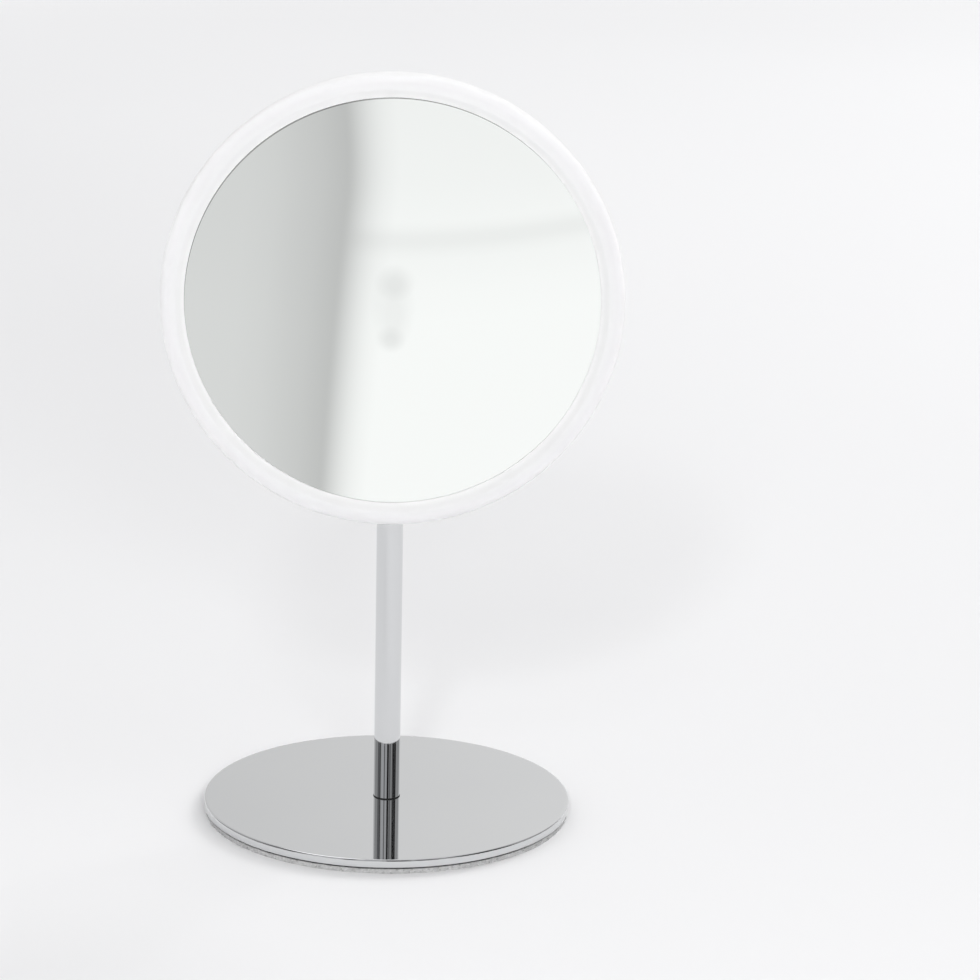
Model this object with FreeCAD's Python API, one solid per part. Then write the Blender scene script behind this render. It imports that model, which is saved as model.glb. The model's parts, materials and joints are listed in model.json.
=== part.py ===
import FreeCAD, Part
import math
import os

# Round table mirror on a chromed column. Millimetres, +Z up. The origin is the middle of the base's
# underside, and the mirror faces -Y. The head pulls off a disc that tilts and swivels on the column.

# Base
base_diameter = 140.0
plate_thickness = 3.3
plate_top_round = 0.8
plate_bottom_round = 0.5
pad_diameter = 139.0
pad_thickness = 1.7
tape_diameter = 137.4
tape_thickness = 0.7

# Column
column_diameter = 10.0
column_wall = 1.0
column_top = 191.0
gasket_thickness = 0.3
gasket_overhang = 0.1
foot_insert_length = 18.0

# Head: depths run backwards from the foremost plane of the frame
head_diameter = 170.0
head_centre_height = 210.0
head_front_y = -39.0
mirror_opening = 152.2
frame_depth = 12.0
frame_equator_depth = 4.2
frame_crown_radius = 80.0
frame_flank_radius = 84.01
frame_flank_depth = 1.72
frame_seam_radius = 83.0
frame_slope_radius = 78.8
frame_slope_depth = 0.37
lip_depth = 2.5
lip_round_width = 0.4
lip_round_foot = 2.35
glass_diameter = 155.0
glass_thickness = 3.0
glass_curve_radius = 600.0
glass_pocket_radius = 77.7
cushion_inner_radius = 71.5
cushion_outer_radius = 76.8
shell_flat_radius = 36.0
shell_depth = 17.5
shell_wall = 2.0
shell_shoulder_radius = 80.4
shell_shoulder_depth = 14.9
shell_wall_at_shoulder = 1.2
rib_inner_radius = 73.5
rib_outer_radius = 77.5
rib_front_depth = 10.0

# Dock that the head's suction cup grips
dock_face_depth = 22.0
dock_diameter = 72.0
dock_thickness = 4.0
cup_diameter = 64.0
cup_tab_length = 9.0

# Tilt hinge, on a line along X through the head's centre height
hinge_radius = 5.0
tongue_half_width = 3.0
slip_washer_thickness = 0.4
ear_thickness = 3.0
hinge_bolt_radius = 2.0

# Fits
running_clearance = 0.05
loose_clearance = 0.1

V = FreeCAD.Vector
plate_bottom = pad_thickness + tape_thickness
plate_top = plate_bottom + plate_thickness
column_bottom = plate_top + gasket_thickness
column_radius = column_diameter / 2
column_bore_radius = column_radius - column_wall
dock_back_y = head_front_y + dock_face_depth + dock_thickness


def turned(start, *moves):
    """Solid turned about Z from a closed outline. A move is a corner (radius, height) or an arc_to."""
    edges = []
    here = V(start[0], 0, start[1])
    for move in moves + (start,):
        if isinstance(move[0], tuple):
            middle, end = (V(r, 0, h) for r, h in move)
            edges.append(Part.Arc(here, middle, end).toShape())
        else:
            end = V(move[0], 0, move[1])
            edges.append(Part.LineSegment(here, end).toShape())
        here = end
    return Part.Face(Part.Wire(edges)).revolve(V(), V(0, 0, 1), 360)


def arc_to(start, heading, end):
    """The middle and end of the arc that leaves start in this direction and comes to end."""
    chord = (end[0] - start[0], end[1] - start[1])
    turn = math.atan2(
        chord[0] * heading[1] - chord[1] * heading[0],
        chord[0] * heading[0] + chord[1] * heading[1],
    )
    bulge = math.tan(turn / 2) / 2
    middle = (start[0] + chord[0] / 2 - chord[1] * bulge, start[1] + chord[1] / 2 + chord[0] * bulge)
    return (middle, end)


def heading_at(start, heading, end):
    """Direction in which that arc arrives at its end."""
    chord = math.atan2(end[1] - start[1], end[0] - start[0])
    arrival = 2 * chord - math.atan2(heading[1], heading[0])
    return (math.cos(arrival), math.sin(arrival))


def ring(outer_radius, inner_radius, bottom, top):
    outer = Part.makeCylinder(outer_radius, top - bottom, V(0, 0, bottom))
    return outer.cut(Part.makeCylinder(inner_radius, top - bottom, V(0, 0, bottom)))


def hexagon(across_flats, bottom, top):
    corner = across_flats / math.sqrt(3)
    points = [V(corner, 0, bottom)]
    for k in range(1, 7):
        angle = math.radians(60 * k)
        points.append(V(corner * math.cos(angle), corner * math.sin(angle), bottom))
    return Part.Face(Part.makePolygon(points)).extrude(V(0, 0, top - bottom))


def box(low, high):
    """Box between two opposite corners."""
    return Part.makeBox(high[0] - low[0], high[1] - low[1], high[2] - low[2], V(*low))


def rounded(shape, radius, is_edge):
    """The shape with a fillet on each edge for which is_edge is true."""
    return shape.makeFillet(radius, [edge for edge in shape.Edges if is_edge(edge)])


def circle_at(radius, height):
    """Picks the full circular edge of this radius at this height."""
    def is_edge(edge):
        curve = edge.Curve
        return (
            isinstance(curve, Part.Circle)
            and abs(curve.Radius - radius) < 0.01
            and abs(curve.Center.z - height) < 0.01
        )
    return is_edge


def on_head(shape):
    """Lays a piece turned about Z on the head's axis, its height becoming depth behind the frame's front."""
    shape.rotate(V(), V(1, 0, 0), -90)
    shape.translate(V(0, head_front_y, head_centre_height))
    return shape


def on_hinge(shape):
    """Lays a piece turned about Z on the tilt axis, its height becoming X."""
    shape.rotate(V(), V(0, 1, 0), 90)
    shape.translate(V(0, 0, head_centre_height))
    return shape


def around_head(shape, count, radius):
    """Separate copies of a piece that runs along the head's axis, spaced round that axis."""
    copies = []
    for k in range(count):
        copy = shape.copy()
        copy.translate(V(0, radius, 0))
        copy.rotate(V(), V(0, 0, 1), 360 * (k + 0.5) / count)
        copies.append(copy)
    return copies


# ---------------------------------------------------------------- base

screw_head_radius = 4.9
screw_radius = 2.5
screw_head_recess = 0.2
base_screw_length = 16.0
screw_socket_flats = 3.0
screw_socket_depth = 1.6
countersink_radius = 5.2
plate_hole_radius = 2.7


def base_pad():
    return Part.makeCylinder(pad_diameter / 2, pad_thickness)


def pad_tape():
    """Double-sided tape that holds the pad under the plate."""
    return Part.makeCylinder(tape_diameter / 2, tape_thickness, V(0, 0, pad_thickness))


def base_plate():
    radius = base_diameter / 2
    plate = Part.makeCylinder(radius, plate_thickness, V(0, 0, plate_bottom))
    plate = rounded(plate, plate_top_round, circle_at(radius, plate_top))
    plate = rounded(plate, plate_bottom_round, circle_at(radius, plate_bottom))
    hole = Part.makeCylinder(plate_hole_radius, plate_thickness, V(0, 0, plate_bottom))
    depth = countersink_radius - plate_hole_radius
    countersink = Part.makeCone(countersink_radius, plate_hole_radius, depth, V(0, 0, plate_bottom))
    return plate.cut(hole.fuse(countersink))


def base_screw():
    bottom = plate_bottom + screw_head_recess
    cone_height = screw_head_radius - screw_radius
    head = Part.makeCone(screw_head_radius, screw_radius, cone_height, V(0, 0, bottom))
    shank = Part.makeCylinder(screw_radius, base_screw_length, V(0, 0, bottom))
    socket = hexagon(screw_socket_flats, bottom, bottom + screw_socket_depth)
    return head.fuse(shank).removeSplitter().cut(socket)


def column_gasket():
    outer = column_radius + gasket_overhang
    return ring(outer, plate_hole_radius, plate_top, column_bottom)


# ---------------------------------------------------------------- column

bush_flange_thickness = 1.2
bush_length = 14.0
bush_bottom = column_top - bush_length
spigot_radius = 2.5
swivel_slip_thickness = 0.6
slip_washer_inset = 0.1


def column_tube():
    return ring(column_radius, column_bore_radius, column_bottom, column_top)


def column_foot_insert():
    """Threaded plug pressed into the tube's foot, which the base screw pulls down on the plate."""
    return ring(column_bore_radius, screw_radius, column_bottom, column_bottom + foot_insert_length)


def swivel_bush():
    """Flanged bush pressed into the tube's head."""
    flange_top = column_top + bush_flange_thickness
    bore = spigot_radius + running_clearance
    return turned(
        (bore, bush_bottom),
        (column_bore_radius, bush_bottom),
        (column_bore_radius, column_top),
        (column_radius, column_top),
        (column_radius, flange_top),
        (bore, flange_top),
    )


def swivel_slip_washer():
    bottom = column_top + bush_flange_thickness
    outer = column_radius - slip_washer_inset
    return ring(outer, spigot_radius + loose_clearance, bottom, bottom + swivel_slip_thickness)


# ---------------------------------------------------------------- swivel, which turns about the column

spigot_thread_radius = 1.5
spigot_thread_top = bush_bottom + 0.3
spigot_thread_bottom = bush_bottom - 7.2
swivel_washer_radius = 3.6
swivel_washer_thickness = 0.8
spring_washer_radius = 3.4
spring_washer_height = 1.0
spring_washer_sheet = 0.5
lock_nut_flats = 5.5
lock_nut_height = 4.0
knuckle_bottom = column_top + bush_flange_thickness + swivel_slip_thickness
knuckle_shoulder = head_centre_height - 7.5
shoulder_round = 0.6
stop_nose_height = 8.0
stop_nose_half_depth = 2.5
stop_nose_round = 0.8


def swivel_knuckle():
    """Stem with a spigot below, and a flat tongue above it with a nose that stops the fork."""
    stem = Part.makeCylinder(column_radius, knuckle_shoulder - knuckle_bottom, V(0, 0, knuckle_bottom))
    stem = rounded(stem, shoulder_round, circle_at(column_radius, knuckle_shoulder))
    spigot = Part.makeCylinder(spigot_radius, knuckle_bottom - spigot_thread_top, V(0, 0, spigot_thread_top))
    thread_length = spigot_thread_top - spigot_thread_bottom
    thread = Part.makeCylinder(spigot_thread_radius, thread_length, V(0, 0, spigot_thread_bottom))
    half = tongue_half_width
    tongue = box((-half, -hinge_radius, knuckle_bottom), (half, hinge_radius, head_centre_height))
    tongue = tongue.common(Part.makeCylinder(column_radius, head_centre_height, V()))
    eye = on_hinge(Part.makeCylinder(hinge_radius, 2 * half, V(0, 0, -half)))
    nose_low = (-half, -stop_nose_half_depth, head_centre_height)
    nose_high = (half, stop_nose_half_depth, head_centre_height + stop_nose_height)
    nose = rounded(box(nose_low, nose_high), stop_nose_round, is_back_top_of_nose)
    bore = on_hinge(Part.makeCylinder(hinge_bolt_radius + running_clearance, 2 * half, V(0, 0, -half)))
    knuckle = stem.fuse([spigot, thread, tongue, eye, nose]).removeSplitter()
    return knuckle.cut(bore)


def is_back_top_of_nose(edge):
    centre = edge.CenterOfMass
    at_top = abs(centre.z - head_centre_height - stop_nose_height) < 0.01
    return at_top and abs(centre.y - stop_nose_half_depth) < 0.01


def swivel_washer():
    inner = spigot_thread_radius + running_clearance
    return ring(swivel_washer_radius, inner, bush_bottom - swivel_washer_thickness, bush_bottom)


def swivel_spring_washer():
    """Coned spring washer that sets the swivel's drag."""
    top = bush_bottom - swivel_washer_thickness
    low = top - spring_washer_height
    inner = spigot_thread_radius + loose_clearance
    return turned(
        (inner, low),
        (spring_washer_radius, top - spring_washer_sheet),
        (spring_washer_radius, top),
        (inner, low + spring_washer_sheet),
    )


def swivel_lock_nut():
    top = bush_bottom - swivel_washer_thickness - spring_washer_height
    bottom = top - lock_nut_height
    nut = hexagon(lock_nut_flats, bottom, top)
    return nut.cut(Part.makeCylinder(spigot_thread_radius, lock_nut_height, V(0, 0, bottom)))


# ---------------------------------------------------------------- tilt hinge and dock

ear_inner = tongue_half_width + slip_washer_thickness
ear_outer = ear_inner + ear_thickness
ear_round = 0.8
root_sink = 1.0
flange_radius = 14.0
flange_thickness = 2.5
flange_round = 0.8
web_thickness = 3.0
dock_screw_circle = 10.7
dock_screw_radius = 1.25
dock_screw_head_radius = 2.2
dock_screw_head_height = 1.5
dock_screw_head_round = 0.6
dock_screw_slot = 2.6
dock_screw_reach = 2.6
tilt_head_height = 2.2
tilt_head_radius = 3.8
tilt_head_bulge = (3.2, 1.5)
tilt_head_top_radius = 1.6
tilt_socket_flats = 2.5
tilt_socket_depth = 1.3
tilt_screw_length = 2 * (tongue_half_width + slip_washer_thickness + ear_thickness) + 4.4
hinge_washer_radius = 3.9
hinge_washer_thickness = 0.8
cap_nut_flats = 7.0
cap_nut_hex_height = 3.0
cap_nut_dome_radius = 3.2
cap_nut_dome_height = 2.4
cap_nut_dome_bulge = (2.35, 1.7)
cap_nut_bore_depth = 3.8
dock_back_round = 2.0
dock_front_round = 0.6
flange_back_y = dock_back_y + flange_thickness


def flange_depth(y):
    """Depth behind the frame's front for a height along Y."""
    return y - head_front_y


def tilt_fork():
    """Round flange with two ears that straddle the tongue, and a web between their roots."""
    bottom, top = flange_depth(dock_back_y), flange_depth(flange_back_y)
    flange = Part.makeCylinder(flange_radius, flange_thickness, V(0, 0, bottom))
    flange = rounded(flange, flange_round, circle_at(flange_radius, top))
    hole = Part.makeCylinder(dock_screw_radius + running_clearance, flange_thickness, V(0, 0, bottom))
    flange = on_head(flange.cut(around_head(hole, 4, dock_screw_circle)))
    web = box(
        (-ear_inner, flange_back_y - root_sink, head_centre_height - hinge_radius),
        (ear_inner, flange_back_y + web_thickness, head_centre_height + hinge_radius),
    )
    bore = on_hinge(Part.makeCylinder(hinge_bolt_radius, 2 * ear_outer, V(0, 0, -ear_outer)))
    return flange.fuse([fork_ear(-1), fork_ear(1), web]).removeSplitter().cut(bore)


def fork_ear(side):
    """Arm with a round end, its outer edges rounded. Its root is sunk in the flange."""
    low_x, high_x = sorted((side * ear_inner, side * ear_outer))
    root_y = flange_back_y - root_sink
    arm = box(
        (low_x, root_y, head_centre_height - hinge_radius),
        (high_x, 0, head_centre_height + hinge_radius),
    )
    ear = arm.fuse(on_hinge(Part.makeCylinder(hinge_radius, ear_thickness, V(0, 0, low_x)))).removeSplitter()

    def is_outer(edge):
        on_face = all(abs(point.X - side * ear_outer) < 0.01 for point in edge.Vertexes)
        return on_face and edge.CenterOfMass.y > root_y + root_sink / 2

    return rounded(ear, ear_round, is_outer)


def tilt_screw():
    """Button-head screw that is the hinge's pin. Its head is on the -X side."""
    seat = -ear_outer
    top = seat - tilt_head_height
    bulge_radius, bulge_height = tilt_head_bulge
    head = turned(
        (0, top),
        (tilt_head_top_radius, top),
        ((bulge_radius, seat - bulge_height), (tilt_head_radius, seat)),
        (0, seat),
    )
    shank = Part.makeCylinder(hinge_bolt_radius, tilt_screw_length, V(0, 0, seat))
    socket = hexagon(tilt_socket_flats, top, top + tilt_socket_depth)
    return on_hinge(head.fuse(shank).removeSplitter().cut(socket))


def tilt_slip_washers():
    """Two thin plastic washers, one each side of the tongue."""
    inner = hinge_bolt_radius + loose_clearance
    outer = hinge_radius - slip_washer_inset
    left = ring(outer, inner, -ear_inner, -tongue_half_width)
    right = ring(outer, inner, tongue_half_width, ear_inner)
    return Part.makeCompound([on_hinge(left), on_hinge(right)])


def tilt_spring_washer():
    inner = hinge_bolt_radius + loose_clearance
    return on_hinge(ring(hinge_washer_radius, inner, ear_outer, ear_outer + hinge_washer_thickness))


def tilt_cap_nut():
    """Low domed cap nut on the +X side."""
    bottom = ear_outer + hinge_washer_thickness
    flats_top = bottom + cap_nut_hex_height
    bulge_radius, bulge_height = cap_nut_dome_bulge
    dome = turned(
        (0, flats_top),
        (cap_nut_dome_radius, flats_top),
        ((bulge_radius, flats_top + bulge_height), (0, flats_top + cap_nut_dome_height)),
    )
    hole = Part.makeCylinder(hinge_bolt_radius, cap_nut_bore_depth, V(0, 0, bottom))
    nut = hexagon(cap_nut_flats, bottom, flats_top).fuse(dome).removeSplitter()
    return on_hinge(nut.cut(hole))


def dock_disc():
    """Smooth round disc with a rounded edge. Its front is the face that the suction cup grips."""
    radius = dock_diameter / 2
    back = dock_face_depth + dock_thickness
    disc = Part.makeCylinder(radius, dock_thickness, V(0, 0, dock_face_depth))
    disc = rounded(disc, dock_back_round, circle_at(radius, back))
    disc = rounded(disc, dock_front_round, circle_at(radius, dock_face_depth))
    hole = Part.makeCylinder(dock_screw_radius, dock_screw_reach, V(0, 0, back - dock_screw_reach))
    return on_head(disc.cut(around_head(hole, 4, dock_screw_circle)))


def dock_screws():
    """Four pan-head screws, from behind the flange into the disc."""
    seat = flange_depth(flange_back_y)
    top = seat + dock_screw_head_height
    head = Part.makeCylinder(dock_screw_head_radius, dock_screw_head_height, V(0, 0, seat))
    head = rounded(head, dock_screw_head_round, circle_at(dock_screw_head_radius, top))
    reach = flange_thickness + dock_screw_reach
    shank = Part.makeCylinder(dock_screw_radius, reach, V(0, 0, seat - reach))
    screw = head.fuse(shank).removeSplitter().cut(cross_recess(dock_screw_slot, top))
    return Part.makeCompound([on_head(copy) for copy in around_head(screw, 4, dock_screw_circle)])


def cross_recess(length, top):
    """Cross slot for a screwdriver, sunk from a head's top."""
    width, depth = 0.55, 0.8
    slot = box((-length / 2, -width / 2, top - depth), (length / 2, width / 2, top))
    other = box((-width / 2, -length / 2, top - depth), (width / 2, length / 2, top))
    return slot.fuse(other)


# ---------------------------------------------------------------- head

stud_radius = 2.0
stud_plate_radius = 7.0
stud_plate_thickness = 1.0
stud_plate_depth = shell_depth + 1.2
stud_tip_depth = 12.5
cup_seat_radius = 12.0
cup_lip_width = 4.0
cup_lip_thickness = 0.9
cup_cavity_height = 1.1
cup_tab_half_width = 5.0
cup_tab_thickness = 1.2
cup_tab_gap = 0.1
cup_tab_corner = 3.0
cup_washer_radius = 5.0
cup_washer_thickness = 0.7
cup_nut_flats = 7.0
cup_nut_height = 2.0
head_screw_circle = 79.7
head_screw_radius = 1.1
head_screw_head_radius = 1.7
head_screw_head_height = 1.1
head_screw_head_round = 0.5
head_screw_slot = 2.0
head_screw_seat_depth = 13.2
head_screw_tip_depth = 6.2
opening_radius = mirror_opening / 2
glass_radius = glass_diameter / 2


glass_sag = glass_curve_radius - math.sqrt(glass_curve_radius**2 - glass_radius**2)


def glass_depth(radius):
    """Depth of the glass's concave front at this distance from its middle."""
    return lip_depth + glass_sag - glass_curve_radius + math.sqrt(glass_curve_radius**2 - radius**2)


def mirror_glass():
    """Round glass, concave at the front and silvered on its parallel back."""
    edge = (glass_radius, lip_depth)
    middle = (0, glass_depth(0))
    back_edge = (glass_radius, lip_depth + glass_thickness)
    back_middle = (0, glass_depth(0) + glass_thickness)
    arrival = heading_at(middle, (1, 0), edge)
    return on_head(turned(
        middle,
        arc_to(middle, (1, 0), edge),
        back_edge,
        arc_to(back_edge, (-arrival[0], -arrival[1]), back_middle),
    ))


def front_frame():
    """Soft ring whose lip holds the glass from the front, and whose back takes the rear shell's screws."""
    seam = (frame_seam_radius, frame_depth)
    equator = (head_diameter / 2, frame_equator_depth)
    flank = (frame_flank_radius, frame_flank_depth)
    crown = (frame_crown_radius, 0)
    slope_top = (frame_slope_radius, frame_slope_depth)
    slope = heading_at(crown, (-1, 0), slope_top)
    lip_top_radius = opening_radius + lip_round_width
    lip_top_depth = frame_slope_depth + (lip_top_radius - frame_slope_radius) * slope[1] / slope[0]
    lip_top = (lip_top_radius, lip_top_depth)
    lip_foot = (opening_radius, lip_round_foot)
    bend = arc_to(equator, (0, 1), seam)[0]
    frame = turned(
        (glass_pocket_radius, frame_depth),
        seam,
        (bend, equator),
        arc_to(equator, (0, -1), flank),
        arc_to(flank, heading_at(equator, (0, -1), flank), crown),
        arc_to(crown, (-1, 0), slope_top),
        lip_top,
        arc_to(lip_top, slope, lip_foot),
        (opening_radius, lip_depth),
        (glass_pocket_radius, lip_depth),
    )
    hole_bottom = head_screw_tip_depth - loose_clearance
    hole = Part.makeCylinder(head_screw_radius, frame_depth - hole_bottom, V(0, 0, hole_bottom))
    return on_head(frame.cut(around_head(hole, 6, head_screw_circle)))


def glass_cushion():
    """Foam ring between the glass's back and the rear shell's rib."""
    inner, outer = cushion_inner_radius, cushion_outer_radius
    middle = (inner + outer) / 2
    front = glass_thickness + running_clearance
    return on_head(turned(
        (inner, glass_depth(inner) + front),
        ((middle, glass_depth(middle) + front), (outer, glass_depth(outer) + front)),
        (outer, rib_front_depth),
        (inner, rib_front_depth),
    ))


def rear_shell():
    """Moulded back: flat in the middle, domed to a round edge, with a rib that locates it in the frame."""
    hole_radius = stud_radius + loose_clearance
    flat_edge = (shell_flat_radius, shell_depth)
    shoulder = (shell_shoulder_radius, shell_shoulder_depth)
    seam = (frame_seam_radius, frame_depth)
    inner_edge = (rib_inner_radius, shell_shoulder_depth - shell_wall_at_shoulder)
    inner_flat_edge = (shell_flat_radius, shell_depth - shell_wall)
    arrival = heading_at(inner_flat_edge, (1, 0), inner_edge)
    shell = turned(
        (hole_radius, shell_depth),
        flat_edge,
        arc_to(flat_edge, (1, 0), shoulder),
        arc_to(shoulder, heading_at(flat_edge, (1, 0), shoulder), seam),
        (rib_outer_radius, frame_depth),
        (rib_outer_radius, rib_front_depth),
        (rib_inner_radius, rib_front_depth),
        inner_edge,
        arc_to(inner_edge, (-arrival[0], -arrival[1]), inner_flat_edge),
        (hole_radius, shell_depth - shell_wall),
    )
    seat = head_screw_seat_depth
    hole = Part.makeCylinder(head_screw_radius + loose_clearance, seat)
    well = Part.makeCylinder(head_screw_head_radius + 2 * loose_clearance, shell_depth - seat, V(0, 0, seat))
    return on_head(shell.cut(around_head(hole.fuse(well), 6, head_screw_circle)))


def head_screws():
    """Six self-tapping screws, rear shell to front frame."""
    seat, top = head_screw_seat_depth, head_screw_seat_depth + head_screw_head_height
    head = Part.makeCylinder(head_screw_head_radius, head_screw_head_height, V(0, 0, seat))
    head = rounded(head, head_screw_head_round, circle_at(head_screw_head_radius, top))
    length = seat - head_screw_tip_depth
    shank = Part.makeCylinder(head_screw_radius, length, V(0, 0, head_screw_tip_depth))
    screw = head.fuse(shank).removeSplitter().cut(cross_recess(head_screw_slot, top))
    return Part.makeCompound([on_head(copy) for copy in around_head(screw, 6, head_screw_circle)])


def stud():
    """Threaded stud with a round plate at its back end."""
    plate = Part.makeCylinder(stud_plate_radius, stud_plate_thickness, V(0, 0, stud_plate_depth))
    length = stud_plate_depth - stud_tip_depth
    return plate.fuse(Part.makeCylinder(stud_radius, length, V(0, 0, stud_tip_depth))).removeSplitter()


def suction_cup():
    """Soft cup moulded round the stud's plate, with its lip flat on the dock and a tab to peel it off."""
    lip_radius = cup_diameter / 2
    seat_edge = (cup_seat_radius, shell_depth)
    lip_inner = (lip_radius - cup_lip_width, dock_face_depth)
    cavity_middle = (0, dock_face_depth - cup_cavity_height)
    arrival = heading_at(cavity_middle, (1, 0), lip_inner)
    cup = turned(
        (0, shell_depth),
        seat_edge,
        arc_to(seat_edge, (1, 0), (lip_radius, dock_face_depth - cup_lip_thickness)),
        (lip_radius, dock_face_depth),
        lip_inner,
        arc_to(lip_inner, (-arrival[0], -arrival[1]), cavity_middle),
    )
    tab_end = lip_radius + cup_tab_length
    tab_back = dock_face_depth - cup_tab_gap
    tab = box(
        (-cup_tab_half_width, lip_radius - cup_lip_width, tab_back - cup_tab_thickness),
        (cup_tab_half_width, tab_end, tab_back),
    )

    def is_corner(edge):
        return abs(edge.CenterOfMass.y - tab_end) < 0.01 and edge.Length < 2 * cup_tab_thickness

    tab = rounded(tab, cup_tab_corner, is_corner)
    return on_head(cup.fuse(tab).removeSplitter().cut(stud()))


def cup_stud():
    return on_head(stud())


def cup_washer():
    bottom = shell_depth - shell_wall - cup_washer_thickness
    inner = stud_radius + running_clearance
    return on_head(ring(cup_washer_radius, inner, bottom, bottom + cup_washer_thickness))


def cup_nut():
    top = shell_depth - shell_wall - cup_washer_thickness
    bottom = top - cup_nut_height
    nut = hexagon(cup_nut_flats, bottom, top)
    return on_head(nut.cut(Part.makeCylinder(stud_radius, cup_nut_height, V(0, 0, bottom))))


pieces = [
    base_pad,
    pad_tape,
    base_plate,
    base_screw,
    column_gasket,
    column_foot_insert,
    column_tube,
    swivel_bush,
    swivel_slip_washer,
    swivel_knuckle,
    swivel_washer,
    swivel_spring_washer,
    swivel_lock_nut,
    tilt_fork,
    tilt_screw,
    tilt_slip_washers,
    tilt_spring_washer,
    tilt_cap_nut,
    dock_disc,
    dock_screws,
    suction_cup,
    cup_stud,
    cup_washer,
    cup_nut,
    rear_shell,
    head_screws,
    glass_cushion,
    mirror_glass,
    front_frame,
]

os.makedirs("parts", exist_ok=True)
for piece in pieces:
    piece().exportStep(f"parts/{piece.__name__}.step")
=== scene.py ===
import json
import math

import bmesh
import bpy
from mathutils import Matrix, Quaternion, Vector, noise

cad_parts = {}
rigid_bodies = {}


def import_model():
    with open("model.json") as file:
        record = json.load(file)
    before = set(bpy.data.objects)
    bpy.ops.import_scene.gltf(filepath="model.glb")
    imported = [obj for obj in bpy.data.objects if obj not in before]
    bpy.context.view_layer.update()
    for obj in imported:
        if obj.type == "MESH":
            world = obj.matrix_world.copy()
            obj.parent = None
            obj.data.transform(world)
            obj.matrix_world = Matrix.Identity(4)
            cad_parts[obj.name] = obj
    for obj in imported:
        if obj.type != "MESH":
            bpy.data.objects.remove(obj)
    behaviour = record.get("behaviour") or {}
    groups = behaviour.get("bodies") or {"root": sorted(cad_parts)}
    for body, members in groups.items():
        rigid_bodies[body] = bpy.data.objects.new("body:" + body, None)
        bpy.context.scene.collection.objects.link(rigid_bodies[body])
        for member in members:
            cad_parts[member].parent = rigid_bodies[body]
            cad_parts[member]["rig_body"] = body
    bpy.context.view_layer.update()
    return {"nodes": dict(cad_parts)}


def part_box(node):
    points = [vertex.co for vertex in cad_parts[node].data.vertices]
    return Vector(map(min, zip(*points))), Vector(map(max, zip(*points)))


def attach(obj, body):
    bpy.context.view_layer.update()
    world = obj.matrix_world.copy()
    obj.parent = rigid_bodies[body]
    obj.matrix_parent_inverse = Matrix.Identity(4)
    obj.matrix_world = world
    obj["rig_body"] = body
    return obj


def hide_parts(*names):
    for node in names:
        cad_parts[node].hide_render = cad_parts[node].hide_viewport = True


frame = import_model()

# ---------------------------------------------------------------- Foam pad
# A round pad of grey closed-cell foam, stamped from sheet and glued under the steel plate. Its edge
# is a rough cut through the cells, with lighter and darker crumb, and it isn't quite even all round.


def turned(outline, steps=192, closed=False):
    """A mesh turned about Z from its outline of (radius, height) corners."""
    mesh = bmesh.new()
    corners = [mesh.verts.new((radius, 0, height)) for radius, height in outline]
    ends = corners[1:] + corners[:1] if closed else corners[1:]
    edges = [mesh.edges.new(pair) for pair in zip(corners, ends)]
    bmesh.ops.spin(
        mesh, geom=corners + edges, cent=(0, 0, 0), axis=(0, 0, 1), dvec=(0, 0, 0),
        angle=2 * math.pi, space=Matrix(), steps=steps,
        use_merge=True, use_normal_flip=False, use_duplicate=False,
    )
    bmesh.ops.remove_doubles(mesh, verts=mesh.verts, dist=0.0000005)
    bmesh.ops.recalc_face_normals(mesh, faces=mesh.faces)
    return mesh


def node_material(name, **sockets):
    """A Principled material, its sockets set by name with underscores for spaces."""
    material = bpy.data.materials.new(name)
    material.use_nodes = True
    shader = material.node_tree.nodes["Principled BSDF"]
    for socket, value in sockets.items():
        shader.inputs[socket.replace("_", " ")].default_value = value
    return material


def add_node(material, kind, links=None, **settings):
    """A node of this kind, its settings and unlinked inputs set, its linked inputs joined."""
    tree = material.node_tree
    node = tree.nodes.new("ShaderNode" + kind)
    for name, value in settings.items():
        if hasattr(node, name):
            setattr(node, name, value)
        else:
            node.inputs[name].default_value = value
    for name, output in (links or {}).items():
        tree.links.new(output, node.inputs[name])
    return node


def drive(material, socket, output):
    """Joins an output to one of the material's shader sockets."""
    shader = material.node_tree.nodes["Principled BSDF"]
    material.node_tree.links.new(output, shader.inputs[socket])


def ramp(material, factor, *stops):
    """A colour ramp with stops of (place, grey or colour)."""
    node = add_node(material, "ValToRGB", {"Fac": factor})
    while len(node.color_ramp.elements) < len(stops):
        node.color_ramp.elements.new(0.5)
    for element, (place, colour) in zip(node.color_ramp.elements, stops):
        element.position = place
        element.color = (*colour, 1) if isinstance(colour, tuple) else (colour, colour, colour, 1)
    return node.outputs["Color"]


def place_in_mesh(material):
    """Object coordinates, which on these pieces are the places in their meshes, in metres."""
    return add_node(material, "TexCoord").outputs["Object"]


def multiplied(material, first, second):
    """One colour times another."""
    node = add_node(
        material, "Mix", {"A": first, "B": second}, data_type="RGBA", blend_type="MULTIPLY", Factor=1.0,
    )
    return node.outputs["Result"]


def bump(material, height, strength, distance):
    """Feeds a height into the shader's normal."""
    node = add_node(material, "Bump", {"Height": height}, Strength=strength, Distance=distance)
    drive(material, "Normal", node.outputs["Normal"])


def finished(name, mesh, material, *nodes, crease=30, weighted=False):
    """The mesh as a piece that stands for these CAD nodes, on their body and with their finish."""
    data = bpy.data.meshes.new(name)
    mesh.to_mesh(data)
    mesh.free()
    data.polygons.foreach_set("use_smooth", [True] * len(data.polygons))
    data.set_sharp_from_angle(angle=math.radians(crease))
    data.materials.clear()
    data.materials.append(material)
    piece = bpy.data.objects.new(name, data)
    bpy.context.scene.collection.objects.link(piece)
    if weighted:
        normals = piece.modifiers.new("flat faces stay flat", "WEIGHTED_NORMAL")
        normals.keep_sharp = True
    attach(piece, frame["nodes"][nodes[0]]["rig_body"])
    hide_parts(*nodes)
    return piece


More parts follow.
